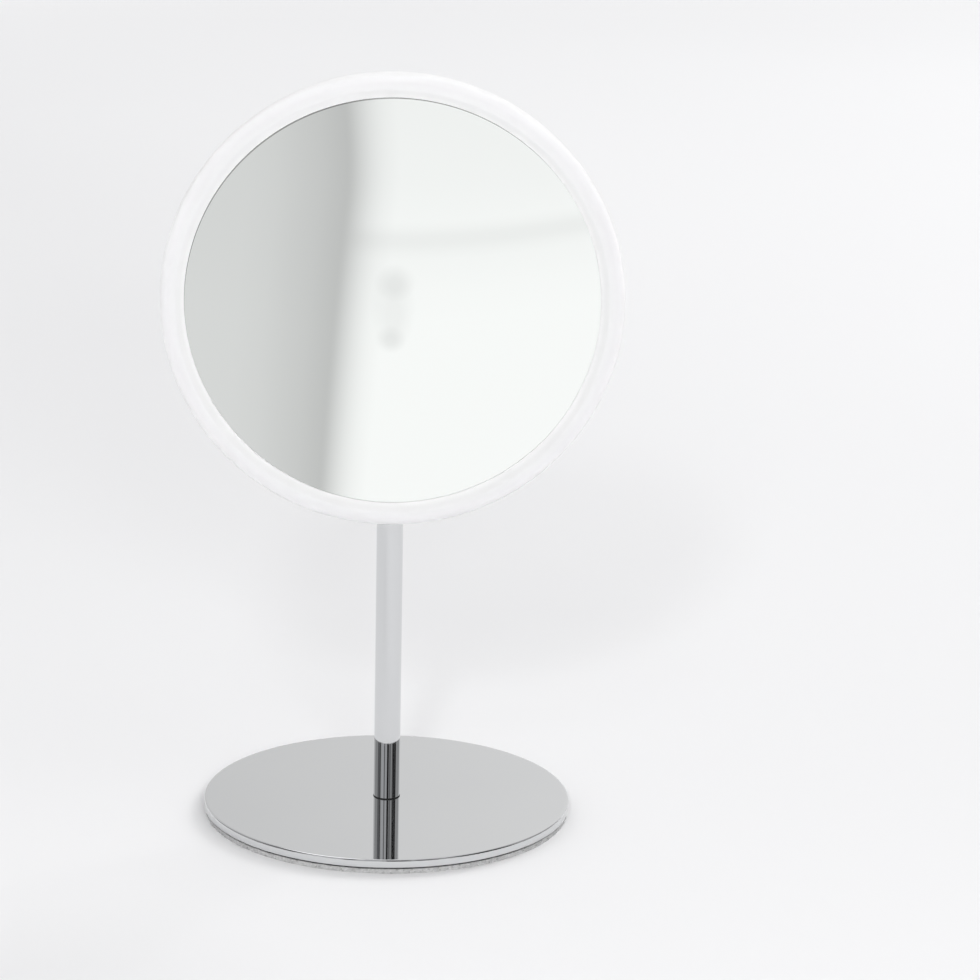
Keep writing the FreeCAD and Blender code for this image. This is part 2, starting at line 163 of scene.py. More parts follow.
foam = node_material("grey_foam", Roughness=0.95, Specular_IOR_Level=0.25)
spot = place_in_mesh(foam)
crumb = add_node(foam, "TexVoronoi", {"Vector": spot}, Scale=1500)
cells = add_node(foam, "TexNoise", {"Vector": spot}, Scale=2600, Detail=4)
patches = add_node(foam, "TexNoise", {"Vector": spot}, Scale=240, Detail=2)
crumb_grey = ramp(foam, crumb.outputs["Color"], (0, 0.30), (0.25, 0.52), (0.75, 0.60), (1, 0.74))
patch_grey = ramp(foam, patches.outputs["Fac"], (0.3, 0.84), (0.7, 1.0))
drive(foam, "Base Color", multiplied(foam, crumb_grey, patch_grey))
bump(foam, cells.outputs["Fac"], 0.6, 0.0004)

pad_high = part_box("base_pad")[1]
pad_radius, pad_top = pad_high.x, pad_high.z
flat_radius = pad_radius * 0.98
pad_rows, pad_steps = 8, 1080
cut_inset = 0.0001
cut_roughness = 0.00022
cut_grain, coarse_grain = 900.0, 225.0
coarse_share = 0.6

outline = [(0, 0), (flat_radius, 0)]
outline += [(pad_radius - cut_inset, pad_top * row / pad_rows) for row in range(pad_rows + 1)]
outline += [(flat_radius, pad_top), (0, pad_top)]
mesh = turned(outline, steps=pad_steps)
for corner in mesh.verts:
    if corner.co.xy.length > (flat_radius + pad_radius) / 2:
        fine, coarse = noise.noise(corner.co * cut_grain), noise.noise(corner.co * coarse_grain)
        corner.co.xy *= 1 - cut_roughness / pad_radius * (1 + fine + coarse_share * coarse)
foam_pad = finished("foam_pad", mesh, foam, "base_pad", crease=60)

# ---------------------------------------------------------------- Pad tape
# Double-sided tape, die-cut a little smaller than the pad, which sticks the pad to the plate. Only its
# edge shows, deep in the gap between the two; its near-black colour is painted shade for that gap.

dark_tape = node_material("dark_tape", Roughness=0.8)
spot = place_in_mesh(dark_tape)
fibres = add_node(dark_tape, "TexNoise", {"Vector": spot}, Scale=900, Detail=4)
# Painted shade: near-black with a few lighter flecks, for the shade deep in the gap.
drive(dark_tape, "Base Color", ramp(
    dark_tape, fibres.outputs["Fac"], (0.35, 0.02), (0.62, 0.06), (0.72, 0.22),
))
bump(dark_tape, fibres.outputs["Fac"], 0.4, 0.0002)

tape_low, tape_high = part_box("pad_tape")
tape_radius, tape_thickness = tape_high.x, tape_high.z - tape_low.z
tape_rows, tape_steps = 3, 720
edge_waver = 0.0001

outline = [(0, tape_low.z)]
outline += [
    (tape_radius - edge_waver, tape_low.z + tape_thickness * row / tape_rows)
    for row in range(tape_rows + 1)
]
outline += [(0, tape_high.z)]
mesh = turned(outline, steps=tape_steps)
for corner in mesh.verts:
    if corner.co.xy.length > tape_radius / 2:
        corner.co.xy *= 1 + edge_waver / tape_radius * noise.noise(corner.co * cut_grain)
finished("tape_disc", mesh, dark_tape, "pad_tape", crease=60)

# ---------------------------------------------------------------- Base plate
# A round blank of 3.3 mm steel, turned to size, its top edge rounded over, then polished and chromed.
# The countersunk hole in its middle takes the screw that holds the column.


def round_rim(mesh, radius, height, size, segments):
    """Rounds over the edge that runs round at this radius and height."""
    def is_on(corner, near=0.00001):
        return abs(corner.co.xy.length - radius) < near and abs(corner.co.z - height) < near
    bmesh.ops.bevel(
        mesh, geom=[edge for edge in mesh.edges if all(is_on(corner) for corner in edge.verts)],
        offset=size, offset_type="OFFSET", segments=segments, profile=0.5, affect="EDGES",
        material=-1, clamp_overlap=True,
    )


def vary(material, socket, factor, low, high):
    """Drives one of the material's shader sockets from low to high as a factor goes from 0 to 1."""
    level = add_node(material, "MapRange", {"Value": factor}, **{"To Min": low, "To Max": high})
    drive(material, socket, level.outputs["Result"])


chrome = node_material("polished_chrome", Metallic=1.0)
spot = place_in_mesh(chrome)
haze = add_node(chrome, "TexNoise", {"Vector": spot}, Scale=90, Detail=5)
tone = add_node(chrome, "TexNoise", {"Vector": spot}, Scale=14, Detail=2)
drive(chrome, "Base Color", ramp(
    chrome, tone.outputs["Fac"], (0.3, (0.688, 0.696, 0.704)), (0.7, (0.702, 0.709, 0.716)),
))
vary(chrome, "Roughness", haze.outputs["Fac"], 0.012, 0.05)
peel = add_node(chrome, "TexNoise", {"Vector": spot}, Scale=420, Detail=2)
bump(chrome, peel.outputs["Fac"], 0.02, 0.00002)

plate_low, plate_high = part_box("base_plate")
plate_radius, plate_bottom, plate_top = plate_high.x, plate_low.z, plate_high.z
hole_radius = 0.0027
countersink_radius = 0.0052
countersink_top = plate_bottom + countersink_radius - hole_radius
plate_round, plate_underside_round = 0.0008, 0.0005

mesh = turned([
    (hole_radius, plate_top),
    (plate_radius, plate_top),
    (plate_radius, plate_bottom),
    (countersink_radius, plate_bottom),
    (hole_radius, countersink_top),
], steps=256, closed=True)
round_rim(mesh, plate_radius, plate_top, plate_round, 8)
round_rim(mesh, plate_radius, plate_bottom, plate_underside_round, 5)
finished("polished_base_plate", mesh, chrome, "base_plate", weighted=True)

# ---------------------------------------------------------------- Column
# Drawn steel tube, 10 mm across with a 1 mm wall, chromed like the plate. It stands on a thin black
# rubber washer, and a brass plug pressed into its foot takes the countersunk screw from below.

rubber = node_material("black_rubber", Roughness=0.7)
spot = place_in_mesh(rubber)
dust = add_node(rubber, "TexNoise", {"Vector": spot}, Scale=1400, Detail=3)
drive(rubber, "Base Color", ramp(rubber, dust.outputs["Fac"], (0.35, 0.008), (0.72, 0.03), (0.8, 0.16)))
bump(rubber, dust.outputs["Fac"], 0.3, 0.0001)

gasket_low, gasket_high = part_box("column_gasket")
tube_low, tube_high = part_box("column_tube")
gasket_round = 0.00006
tube_radius, tube_wall = tube_high.x, 0.001
tube_foot_round, tube_mouth_round = 0.00015, 0.0003

mesh = turned([
    (hole_radius, gasket_low.z),
    (gasket_high.x, gasket_low.z),
    (gasket_high.x, gasket_high.z),
    (hole_radius, gasket_high.z),
], closed=True)
round_rim(mesh, gasket_high.x, gasket_high.z, gasket_round, 2)
finished("foot_washer", mesh, rubber, "column_gasket", weighted=True)

mesh = turned([
    (tube_radius, tube_low.z),
    (tube_radius, tube_high.z),
    (tube_radius - tube_wall, tube_high.z),
    (tube_radius - tube_wall, tube_low.z),
], closed=True)
round_rim(mesh, tube_radius, tube_low.z, tube_foot_round, 3)
round_rim(mesh, tube_radius, tube_high.z, tube_mouth_round, 3)
finished("chromed_column", mesh, chrome, "column_tube", weighted=True)

# ---------------------------------------------------------------- Fasteners inside the column and the head
# Zinc-plated steel screws, nuts and washers, a turned brass plug and bush, and slip washers of nylon.
# They are bought parts, and each stays where it was fitted.

zinc = node_material("zinc_plate", Metallic=1.0)
spot = place_in_mesh(zinc)
spangle = add_node(zinc, "TexNoise", {"Vector": spot}, Scale=800, Detail=4)
drive(zinc, "Base Color", ramp(
    zinc, spangle.outputs["Fac"], (0.3, (0.50, 0.51, 0.53)), (0.7, (0.64, 0.645, 0.65)),
))
vary(zinc, "Roughness", spangle.outputs["Fac"], 0.24, 0.42)
bump(zinc, spangle.outputs["Fac"], 0.15, 0.00005)

brass = node_material("turned_brass", Metallic=1.0)
spot = place_in_mesh(brass)
tool_marks = add_node(brass, "TexNoise", {"Vector": spot}, Scale=600, Detail=3)
drive(brass, "Base Color", ramp(
    brass, tool_marks.outputs["Fac"], (0.3, (0.60, 0.43, 0.18)), (0.7, (0.74, 0.56, 0.27)),
))
vary(brass, "Roughness", tool_marks.outputs["Fac"], 0.2, 0.38)

nylon = node_material("natural_nylon", Roughness=0.42, Subsurface_Weight=0.2, Subsurface_Scale=0.002)
spot = place_in_mesh(nylon)
cloud = add_node(nylon, "TexNoise", {"Vector": spot}, Scale=500, Detail=2)
drive(nylon, "Base Color", ramp(
    nylon, cloud.outputs["Fac"], (0.3, (0.74, 0.73, 0.67)), (0.7, (0.82, 0.81, 0.76)),
))
bump(nylon, cloud.outputs["Fac"], 0.1, 0.00005)


def smooth_copy(name, material, node):
    """A piece from a CAD node's own mesh, its triangles joined so that its curves shade smoothly."""
    mesh = bmesh.new()
    mesh.from_mesh(frame["nodes"][node].data)
    bmesh.ops.remove_doubles(mesh, verts=mesh.verts, dist=0.000001)
    return finished(name, mesh, material, node, weighted=True)


smooth_copy("foot_screw", zinc, "base_screw")
smooth_copy("foot_plug", brass, "column_foot_insert")
smooth_copy("swivel_bush_brass", brass, "swivel_bush")
smooth_copy("swivel_thin_washer", nylon, "swivel_slip_washer")
smooth_copy("swivel_plain_washer", zinc, "swivel_washer")
smooth_copy("swivel_coned_washer", zinc, "swivel_spring_washer")
smooth_copy("swivel_nut", zinc, "swivel_lock_nut")

# ---------------------------------------------------------------- Swivel knuckle and tilt hinge
# Machined steel, chromed: a stem that turns in the column's bush, a tongue on it, and a fork that
# tilts on the tongue. A button-head screw and a domed nut pinch the fork, so that it stays as set.

smooth_copy("chromed_knuckle", chrome, "swivel_knuckle")
smooth_copy("chromed_fork", chrome, "tilt_fork")
smooth_copy("hinge_screw", chrome, "tilt_screw")
smooth_copy("hinge_slip_washers", nylon, "tilt_slip_washers")
smooth_copy("hinge_plain_washer", zinc, "tilt_spring_washer")
smooth_copy("hinge_domed_nut", chrome, "tilt_cap_nut")

# ---------------------------------------------------------------- Dock disc
# A round disc moulded in gloss white plastic, screwed to the fork's flange from behind. Its front is
# plain and smooth for the suction cup.

frame_low, frame_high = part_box("front_frame")
head_axis_height = (frame_low.z + frame_high.z) / 2
# Round pieces from here on are turned about Z, with heights measured back from the head's front.
# This lays them over, to face forward.
on_head = Matrix.Translation((0, frame_low.y, head_axis_height)) @ Matrix.Rotation(-math.pi / 2, 4, "X")

gloss_white = node_material("gloss_white", Roughness=0.16, Coat_Weight=0.2, Coat_Roughness=0.08)
spot = place_in_mesh(gloss_white)
flow = add_node(gloss_white, "TexNoise", {"Vector": spot}, Scale=60, Detail=3)
drive(gloss_white, "Base Color", ramp(gloss_white, flow.outputs["Fac"], (0.3, 0.80), (0.7, 0.83)))
bump(gloss_white, flow.outputs["Fac"], 0.04, 0.0002)

disc_low, disc_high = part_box("dock_disc")
disc_radius = disc_high.x
disc_front, disc_back = disc_low.y - frame_low.y, disc_high.y - frame_low.y
disc_front_round, disc_back_round = 0.0006, 0.002

mesh = turned([(0, disc_front), (disc_radius, disc_front), (disc_radius, disc_back), (0, disc_back)])
round_rim(mesh, disc_radius, disc_back, disc_back_round, 8)
round_rim(mesh, disc_radius, disc_front, disc_front_round, 4)
bmesh.ops.transform(mesh, matrix=on_head, verts=mesh.verts)
finished("dock_plate", mesh, gloss_white, "dock_disc", weighted=True)
smooth_copy("dock_fixing_screws", zinc, "dock_screws")

# ---------------------------------------------------------------- Suction cup
# Soft milky silicone, moulded round the plate of a steel stud that a nut and a washer hold in the
# rear shell. The lip is pressed flat on the dock disc, and a tab below peels it off.

silicone = node_material(
    "milky_silicone", Roughness=0.28, Subsurface_Weight=0.8, Subsurface_Scale=0.0015,
    Subsurface_Radius=(1, 1, 1), Transmission_Weight=0.15, IOR=1.41,
)
spot = place_in_mesh(silicone)
milk = add_node(silicone, "TexNoise", {"Vector": spot}, Scale=130, Detail=3)
drive(silicone, "Base Color", ramp(
    silicone, milk.outputs["Fac"], (0.3, (0.77, 0.785, 0.79)), (0.7, (0.82, 0.835, 0.84)),
))
bump(silicone, milk.outputs["Fac"], 0.06, 0.0002)

smooth_copy("silicone_cup", silicone, "suction_cup")
smooth_copy("cup_stud_steel", zinc, "cup_stud")
smooth_copy("cup_plain_washer", zinc, "cup_washer")
smooth_copy("cup_hex_nut", zinc, "cup_nut")

# ---------------------------------------------------------------- Rear shell
# The head's back, moulded in matt white plastic with a fine spark-eroded grain. Six small screws in
# wells near its rim fix it to the soft ring, and its rib presses the glass forward on a foam ring.

matt_white = node_material("matt_white", Roughness=0.55)
spot = place_in_mesh(matt_white)
spark_grain = add_node(matt_white, "TexNoise", {"Vector": spot}, Scale=2200, Detail=3)
shade = add_node(matt_white, "TexNoise", {"Vector": spot}, Scale=25, Detail=3)
drive(matt_white, "Base Color", ramp(matt_white, shade.outputs["Fac"], (0.3, 0.79), (0.7, 0.82)))
vary(matt_white, "Roughness", spark_grain.outputs["Fac"], 0.46, 0.64)
bump(matt_white, spark_grain.outputs["Fac"], 0.3, 0.00008)

smooth_copy("rear_cover", matt_white, "rear_shell")
smooth_copy("cover_screws", zinc, "head_screws")

pale_foam = node_material("white_foam", Roughness=0.9)
spot = place_in_mesh(pale_foam)
bubbles = add_node(pale_foam, "TexVoronoi", {"Vector": spot}, Scale=1800)
drive(pale_foam, "Base Color", ramp(pale_foam, bubbles.outputs["Distance"], (0, 0.6), (0.5, 0.8)))
bump(pale_foam, bubbles.outputs["Distance"], 0.5, 0.0003)
foam_ring = smooth_copy("foam_ring", pale_foam, "glass_cushion")

# ---------------------------------------------------------------- Mirror glass
# Float glass, bent to a shallow dish for enlarging and silvered behind. The glass tints what it
# shows faintly green. A thin dark line of painted shade runs along the top and the upper left edge,
# standing in for the shade under the ring's lip.

silvered = node_material("silvered_glass", Metallic=1.0)
spot = place_in_mesh(silvered)
tint = add_node(silvered, "TexNoise", {"Vector": spot}, Scale=8, Detail=1)
tinted = ramp(silvered, tint.outputs["Fac"], (0.3, (0.915, 0.935, 0.92)), (0.7, (0.92, 0.94, 0.927)))
# Painted shade: past a circle a little off the glass's middle, the colour falls to under half.
shade_circle_right, shade_circle_drop = 0.00027, 0.00074
shade_circle_radius = 0.0763
shade_circle_fade = 0.0002
off_centre = add_node(silvered, "VectorMath", {0: spot}, operation="SUBTRACT")
off_centre.inputs[1].default_value = (shade_circle_right, 0, head_axis_height - shade_circle_drop)
across_glass = add_node(silvered, "VectorMath", {0: off_centre.outputs["Vector"]}, operation="MULTIPLY")
across_glass.inputs[1].default_value = (1, 0, 1)
from_centre = add_node(silvered, "VectorMath", {0: across_glass.outputs["Vector"]}, operation="LENGTH")
past_shade_circle = add_node(
    silvered, "MapRange", {"Value": from_centre.outputs["Value"]},
    **{"From Min": shade_circle_radius - shade_circle_fade / 2, "From Max": shade_circle_radius + shade_circle_fade / 2},
)
painted_lip_shade = ramp(silvered, past_shade_circle.outputs["Result"], (0.0, 1.0), (1.0, 0.45))
drive(silvered, "Base Color", multiplied(silvered, tinted, painted_lip_shade))
wipe = add_node(silvered, "TexNoise", {"Vector": spot}, Scale=30, Detail=4)
vary(silvered, "Roughness", wipe.outputs["Fac"], 0.0, 0.018)

glass_low, glass_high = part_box("mirror_glass")
glass_radius = glass_high.x
dish_radius = 0.6
glass_thickness = 0.003
glass_rings = 40
glass_edge_depth = glass_low.y - frame_low.y
dish_centre = glass_edge_depth - math.sqrt(dish_radius ** 2 - glass_radius ** 2)


def dish_depth(radius):
    """Depth of the dished front at this distance from its middle."""
    return dish_centre + math.sqrt(dish_radius ** 2 - radius ** 2)


radii = [glass_radius * ring / glass_rings for ring in range(glass_rings + 1)]
outline = [(radius, dish_depth(radius)) for radius in radii]
outline += [(radius, dish_depth(radius) + glass_thickness) for radius in reversed(radii)]
mesh = turned(outline, steps=192)
bmesh.ops.transform(mesh, matrix=on_head, verts=mesh.verts)
finished("dished_mirror", mesh, silvered, "mirror_glass")

# ---------------------------------------------------------------- Soft ring
# A ring of soft white rubber, moulded over a stiffer core, satin and slightly see-through. Its colour is
# painted lighter at the lip and at the outer edge, as painted light there. In front it is rounded outside,
# then slopes evenly inwards to a thin lip on the glass.

soft_white = node_material(
    "soft_white", Roughness=0.48, Specular_IOR_Level=0.3,
    Subsurface_Weight=1.0, Subsurface_Scale=0.0006, Subsurface_Radius=(1, 1, 1),
)
spot = place_in_mesh(soft_white)
skin = add_node(soft_white, "TexNoise", {"Vector": spot}, Scale=1700, Detail=3)
from_axis = add_node(soft_white, "VectorMath", {0: spot}, operation="MULTIPLY_ADD")
from_axis.inputs[1].default_value = (1, 0, 1)
from_axis.inputs[2].default_value = (0, 0, -head_axis_height)
out_from_axis = add_node(soft_white, "VectorMath", {0: from_axis.outputs["Vector"]}, operation="LENGTH")
lip_radius, rim_radius = 0.0760, 0.0850
lip_to_rim = add_node(
    soft_white, "MapRange", {"Value": out_from_axis.outputs["Value"]},
    **{"From Min": lip_radius, "From Max": rim_radius},
)
# Painted light: the base colour is lighter at the lip and much lighter at the outer edge than across the
# middle, standing in for light on the lip and glow through the rim.
painted_edge_light = ramp(
    soft_white, lip_to_rim.outputs["Result"],
    (0.0, (0.93, 0.93, 0.93)), (0.2, (0.845, 0.845, 0.845)), (0.45, (0.815, 0.815, 0.82)),
    (0.65, (0.825, 0.82, 0.83)), (0.85, (0.885, 0.88, 0.89)), (1.0, (0.985, 0.98, 0.985)),
)
mottle = add_node(soft_white, "TexNoise", {"Vector": spot}, Scale=18, Detail=2)
mottled = ramp(soft_white, mottle.outputs["Fac"], (0.3, 0.985), (0.7, 1.0))
drive(soft_white, "Base Color", multiplied(soft_white, painted_edge_light, mottled))
vary(soft_white, "Roughness", skin.outputs["Fac"], 0.42, 0.56)
bump(soft_white, skin.outputs["Fac"], 0.12, 0.00004)

ring_radius = frame_high.x
ring_depth = frame_high.y - frame_low.y
crown_radius = 0.080
widest_depth = 0.0042
seam_radius = 0.083
opening_radius = 0.0761
pocket_radius = 0.0777
slope_radius = 0.0788
slope_depth = 0.00037
lip_round = 0.0004
lip_foot_depth = 0.0024
lip_gap = 0.00004


def oval(start, end, steps, middle, across, deep):
    """Corners along an oval between two angles in degrees, its middle at (radius, depth)."""
    angles = [math.radians(start + (end - start) * step / steps) for step in range(steps + 1)]
    return [
        (middle[0] + across * math.cos(angle), middle[1] - deep * math.sin(angle))
        for angle in angles
    ]


back_width, back_height = ring_radius - seam_radius, ring_depth - widest_depth
back_arc = (back_width ** 2 + back_height ** 2) / 2 / back_width
back_turn = math.degrees(math.asin(back_height / back_arc))
outline = [(pocket_radius, ring_depth)]
outline += oval(-back_turn, 0, 6, (ring_radius - back_arc, widest_depth), back_arc, back_arc)
outline += oval(0, 90, 16, (crown_radius, widest_depth), ring_radius - crown_radius, widest_depth)[1:]
slope_turn = 2 * math.atan(slope_depth / (crown_radius - slope_radius))
slope_degrees = math.degrees(slope_turn)
slope_arc = (crown_radius - slope_radius) / math.sin(slope_turn)
outline += oval(90, 90 + slope_degrees, 5, (crown_radius, slope_arc), slope_arc, slope_arc)[1:]
lip_middle = (opening_radius + lip_round, lip_foot_depth)
outline += oval(90 + slope_degrees, 180, 5, lip_middle, lip_round, lip_round)
outline += [
    (opening_radius, glass_edge_depth - lip_gap),
    (opening_radius + lip_gap, glass_edge_depth),
    (pocket_radius, glass_edge_depth),
]
mesh = turned(outline, steps=256, closed=True)
bmesh.ops.transform(mesh, matrix=on_head, verts=mesh.verts)
finished("soft_ring", mesh, soft_white, "front_frame", crease=40)

# ---------------------------------------------------------------- Camera
# It looks down at the base from a little under two metres away, with a long lens.

picture_side = 980
sensor_width = 36.0
lens = 174.5
camera_distance = 1.83
camera_elevation = math.radians(20.05)
camera_roll = math.radians(-0.684)
plate_pixel = Vector((386.55, 795.05))

camera_data = bpy.data.cameras.new("camera")
camera_data.lens = lens
camera_data.sensor_width = sensor_width
camera = bpy.data.objects.new("camera", camera_data)
bpy.context.scene.collection.objects.link(camera)
bpy.context.scene.camera = camera
to_camera = Vector((0, -math.cos(camera_elevation), math.sin(camera_elevation)))
camera.location = Vector((0, 0, plate_top)) + to_camera * camera_distance
from_middle = plate_pixel - Vector((picture_side / 2, picture_side / 2))
focal_pixels = lens / sensor_width * picture_side
plate_ray = Vector((from_middle.x / focal_pixels, -from_middle.y / focal_pixels, -1)).normalized()
camera.rotation_mode = "QUATERNION"
camera.rotation_quaternion = (
    (-to_camera).to_track_quat("-Z", "Y")
    @ plate_ray.rotation_difference(Vector((0, 0, -1)))
    @ Quaternion(plate_ray, camera_roll)
)

# ---------------------------------------------------------------- Floor, light and reflectors
# A plain pale floor under a soft even light that is strongest behind and above. Small lamps at the left
# front and a lower one at the right front cast the head's soft shadows, and larger ones fill the right.
# Cards stand and lie around, where only polished metal and the mirror show them.

bpy.context.scene.view_settings.view_transform = "Standard"

floor_material = node_material("pale_floor", Roughness=0.9, Specular_IOR_Level=0.1)
spot = place_in_mesh(floor_material)
floor_tone = add_node(floor_material, "TexNoise", {"Vector": spot}, Scale=1.5, Detail=1)
drive(floor_material, "Base Color", ramp(
    floor_material, floor_tone.outputs["Fac"], (0.3, (0.86, 0.86, 0.865)), (0.7, (0.88, 0.88, 0.885)),
))
floor_radius, floor_drop = 9.0, 0.00005
mesh = bmesh.new()
bmesh.ops.create_circle(mesh, cap_ends=True, radius=floor_radius, segments=96)
bmesh.ops.translate(mesh, vec=(0, 0, -floor_drop), verts=mesh.verts)
floor_data = bpy.data.meshes.new("floor")
mesh.to_mesh(floor_data)
mesh.free()
floor_data.materials.append(floor_material)
floor = bpy.data.objects.new("floor", floor_data)
bpy.context.scene.collection.objects.link(floor)

world = bpy.data.worlds.new("overcast")
bpy.context.scene.world = world
world.use_nodes = True
bright_side = Vector((-0.23, 0.765, 0.60)).normalized()
dim_sky, bright_sky = 0.21, 0.825
sky = add_node(world, "TexCoord").outputs["Generated"]
towards_bright = add_node(world, "VectorMath", {0: sky}, operation="DOT_PRODUCT")
towards_bright.inputs[1].default_value = bright_side
sky_level = add_node(
    world, "MapRange", {"Value": towards_bright.outputs["Value"]},
    **{"From Min": -1.0, "From Max": 1.0, "To Min": dim_sky, "To Max": bright_sky},
)
background = world.node_tree.nodes["Background"]
background.inputs["Color"].default_value = (1.0, 1.0, 1.01, 1)
world.node_tree.links.new(sky_level.outputs["Result"], background.inputs["Strength"])


def lamp(name, place, aim, width, height, watts):
    """A rectangular lamp at a place, turned towards a point. Polished metal doesn't show it."""
    data = bpy.data.lights.new(name, "AREA")
    data.shape = "RECTANGLE"
    data.size, data.size_y, data.energy = width, height, watts
    light = bpy.data.objects.new(name, data)
    light.location = place
    light.rotation_euler = (Vector(aim) - Vector(place)).to_track_quat("-Z", "Y").to_euler()
    light.visible_glossy = False
    bpy.context.scene.collection.objects.link(light)


at_object = (0, 0, 0.1)
lamp("window_behind", (1.5, 1.55, 1.55), at_object, 1.2, 1.2, 21.0)
lamp("key_from_left", (-0.29, -2.07, 1.43), at_object, 0.2, 0.2, 7.6)
lamp("low_left", (-0.30, -2.17, 1.22), at_object, 0.2, 0.2, 3.2)
lamp("high_left", (-0.27, -1.75, 1.84), at_object, 0.3, 0.3, 1.5)
lamp("low_right", (0.36, -2.29, 0.89), at_object, 0.5, 0.4, 14.6)
lamp("far_corner", (-0.6, 1.9, 0.6), (-0.6, 1.9, 0), 0.3, 0.3, 0.8)
lamp("soft_overhead", (1.2, -1.3, 2.3), at_object, 1.5, 1.5, 4.0)


def reflector(name, mesh, material):
    """A card that only polished metal and the mirror show."""
    data = bpy.data.meshes.new(name)
    mesh.to_mesh(data)
    mesh.free()
    data.materials.append(material)
    card = bpy.data.objects.new(name, data)
    bpy.context.scene.collection.objects.link(card)
    card.visible_camera = card.visible_diffuse = card.visible_shadow = False
    card.visible_transmission = card.visible_volume_scatter = False


def glowing(name):
    """A material with only an emission shader, and the colour socket of that shader."""
    material = bpy.data.materials.new(name)
    material.use_nodes = True
    tree = material.node_tree
    tree.nodes.remove(tree.nodes["Principled BSDF"])
    glow = tree.nodes.new("ShaderNodeEmission")
    tree.links.new(glow.outputs["Emission"], tree.nodes["Material Output"].inputs["Surface"])
    return material, glow.inputs["Color"]


def upright(bearing, half_width, distance, bottom, top):
    """A curved upright card at a bearing from straight in front, in degrees to the right."""
    mesh = bmesh.new()
    low = mesh.verts.new((0, -distance, bottom))
    high = mesh.verts.new((0, -distance, top))
    edge = mesh.edges.new((low, high))
    turn = math.radians(bearing - half_width)
    bmesh.ops.rotate(mesh, matrix=Matrix.Rotation(turn, 3, "Z"), verts=mesh.verts)
    bmesh.ops.spin(
        mesh, geom=[low, high, edge], cent=(0, 0, 0), axis=(0, 0, 1), dvec=(0, 0, 0),
        angle=math.radians(2 * half_width), space=Matrix(), steps=24, use_merge=False,
        use_normal_flip=False, use_duplicate=False,
    )
    return mesh


def flat_card(width, depth, middle, turn=0.0):
    """A flat card, lying or turned up about X, moved to its middle."""
    mesh = bmesh.new()
    bmesh.ops.create_grid(mesh, x_segments=1, y_segments=1, size=0.5)
    bmesh.ops.scale(mesh, vec=(width, depth, 1), verts=mesh.verts)
    bmesh.ops.rotate(mesh, matrix=Matrix.Rotation(turn, 3, "X"), verts=mesh.verts)
    bmesh.ops.translate(mesh, vec=middle, verts=mesh.verts)
    return mesh


# The room round the table: mid-grey walls from just above the table to well overhead, with darker and
# lighter things in front of them.
wall_distance, things_distance = 1.35, 1.30
wall_bottom, wall_top, things_top = 0.14, 2.2, 1.6
faint_blue = 1.03
walls, wall_colour = glowing("grey_room")
spot = place_in_mesh(walls)
wall_tone = add_node(walls, "TexNoise", {"Vector": spot}, Scale=3.0, Detail=2)
walls.node_tree.links.new(
    ramp(walls, wall_tone.outputs["Fac"], (0.3, 0.36), (0.7, 0.47)), wall_colour,
)
reflector("room_walls", upright(0, 130, wall_distance, wall_bottom, wall_top), walls)

for name, bearing, half_width, grey in (
    ("left_shelf", -76, 12, 0.16),
    ("left_gap", -61, 4, 0.03),
    ("pale_door", -38, 11, 0.56),
    ("door_frame", -23, 3.5, 0.13),
    ("pale_curtain", -9, 7, 0.52),
    ("camera_stand", 8, 7.5, 0.02),
    ("dim_corner", 26, 7, 0.19),
    ("right_post", 49, 3.5, 0.06),
    ("dark_doorway", 60, 6, 0.004),
    ("dark_cabinet", 76, 9, 0.03),
):
    thing, thing_colour = glowing(name)
    thing_colour.default_value = (grey, grey, grey * faint_blue, 1)
    reflector(name, upright(bearing, half_width, things_distance, wall_bottom, things_top), thing)

# The table top further forward, which the mirror shows upside down: bright to the left of a blurred edge
# that runs forward at a slant, and grey to the right of it.
table, table_colour = glowing("table_top")
spot = place_in_mesh(table)
parts = add_node(table, "SeparateXYZ", {"Vector": spot})
edge_start, edge_slope = 0.029, 0.05
blur_start, blur_scale, blur_middle = 0.35, 1.3, 0.6
near_from, near_to, near_bend = 0.27, 0.36, 0.013


def scaled(material, value, factor, plus):
    """A number times a factor, plus a number or another output."""
    node = add_node(material, "Math", {0: value}, operation="MULTIPLY_ADD")
    node.inputs[1].default_value = factor
    if isinstance(plus, float):
        node.inputs[2].default_value = plus
    else:
        material.node_tree.links.new(plus, node.inputs[2])
    return node.outputs[0]


past_blur_start = scaled(table, parts.outputs["Y"], -1.0, -blur_start)
slanted = scaled(table, parts.outputs["Y"], edge_slope, parts.outputs["X"])
from_edge = scaled(table, slanted, 1.0, edge_start)
spread = add_node(table, "Math", {0: from_edge, 1: past_blur_start}, operation="DIVIDE").outputs[0]
near = add_node(
    table, "MapRange", {"Value": past_blur_start},
    **{"From Min": near_from, "From Max": near_to, "To Min": 1.0, "To Max": 0.0},
).outputs["Result"]
near_squared = add_node(table, "Math", {0: near, 1: near}, operation="MULTIPLY").outputs[0]
to_right = scaled(table, scaled(table, near_squared, -near_bend, spread), blur_scale, blur_middle)
brightness = ramp(
    table, to_right,
    (0.572, 1.0), (0.588, 0.89), (0.596, 0.79), (0.605, 0.635), (0.613, 0.45), (0.620, 0.276),
    (0.626, 0.11), (0.631, 0.0),
)
greys = ramp(
    table, to_right,
    (0.632, 0.569), (0.644, 0.588), (0.664, 0.626), (0.690, 0.66), (0.716, 0.697), (0.75, 0.72),
    (1, 0.74),
)

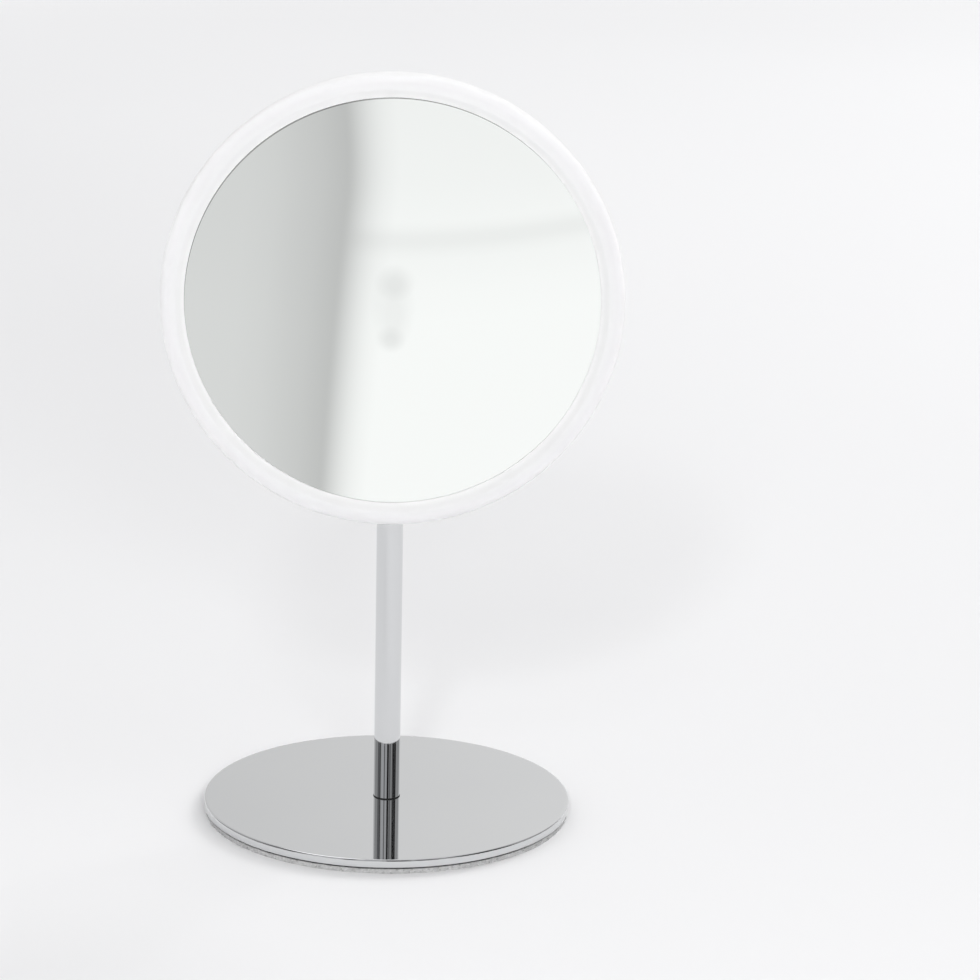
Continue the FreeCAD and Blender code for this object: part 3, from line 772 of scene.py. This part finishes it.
# A faint seam runs across the bright part, bent a little towards its ends.
seam_bend, seam_zero = 9.5, 0.6
squared = add_node(table, "Math", {0: parts.outputs["X"], 1: parts.outputs["X"]}, operation="MULTIPLY")
bent = scaled(table, squared.outputs[0], -seam_bend, parts.outputs["Y"])
forward = scaled(table, bent, -1.0, -seam_zero)
whites = ramp(
    table, forward,
    (0.02, 0.94), (0.09, 0.958), (0.135, 0.981), (0.145, 0.955), (0.155, 0.912), (0.166, 0.91),
    (0.18, 0.955), (0.192, 0.98), (0.25, 1.003), (0.32, 1.016),
)
fading = ramp(table, forward, (0.05, 0.965), (0.35, 1.0))
shown = add_node(
    table, "Mix", {"Factor": brightness, "A": multiplied(table, greys, fading), "B": whites},
    data_type="RGBA", blend_type="MIX",
).outputs["Result"]

# Something small stands on it: two round blurs in a longer one.
for middle, half_size, shade in (
    ((-0.0008, -0.835, 0), (0.0095, 0.038, 1), 0.90),
    ((0.0010, -0.974, 0), (0.0095, 0.045, 1), 0.90),
    ((-0.0002, -0.905, 0), (0.0115, 0.110, 1), 0.92),
):
    mapping = add_node(
        table, "Mapping", {"Vector": spot}, vector_type="TEXTURE", Location=middle, Scale=half_size,
    )
    blur = add_node(table, "TexGradient", {"Vector": mapping.outputs["Vector"]}, gradient_type="SPHERICAL")
    dimmed = ramp(table, blur.outputs["Fac"], (0.0, 1.0), (0.7, shade))
    shown = multiplied(table, shown, dimmed)
table.node_tree.links.new(shown, table_colour)
reflector("table_in_front", flat_card(10, 8.1, (0, -4.6, 0.001)), table)

# A pale wall behind, which the base plate shows: a little darker to the left.
back_wall, back_wall_colour = glowing("pale_wall_behind")
spot = place_in_mesh(back_wall)
along = add_node(back_wall, "SeparateXYZ", {"Vector": spot})
fade_reach = 0.3
wall_place = add_node(
    back_wall, "MapRange", {"Value": along.outputs["X"]},
    **{"From Min": -fade_reach, "From Max": fade_reach},
)
back_wall.node_tree.links.new(
    ramp(back_wall, wall_place.outputs["Result"], (0.0, 0.70), (0.27, 0.745), (0.73, 0.85), (1.0, 0.88)),
    back_wall_colour,
)
reflector("wall_behind", flat_card(3.2, 1.8, (0, 1.6, 0.94), turn=math.pi / 2), back_wall)

# A soft box overhead, a little to the left, which the rounded edges of the chrome catch.
soft_box, soft_box_colour = glowing("soft_box")
soft_box_colour.default_value = (1.7, 1.7, 1.7, 1)
reflector("overhead_soft_box", flat_card(1, 1, (-0.75, -0.1, 1.8)), soft_box)
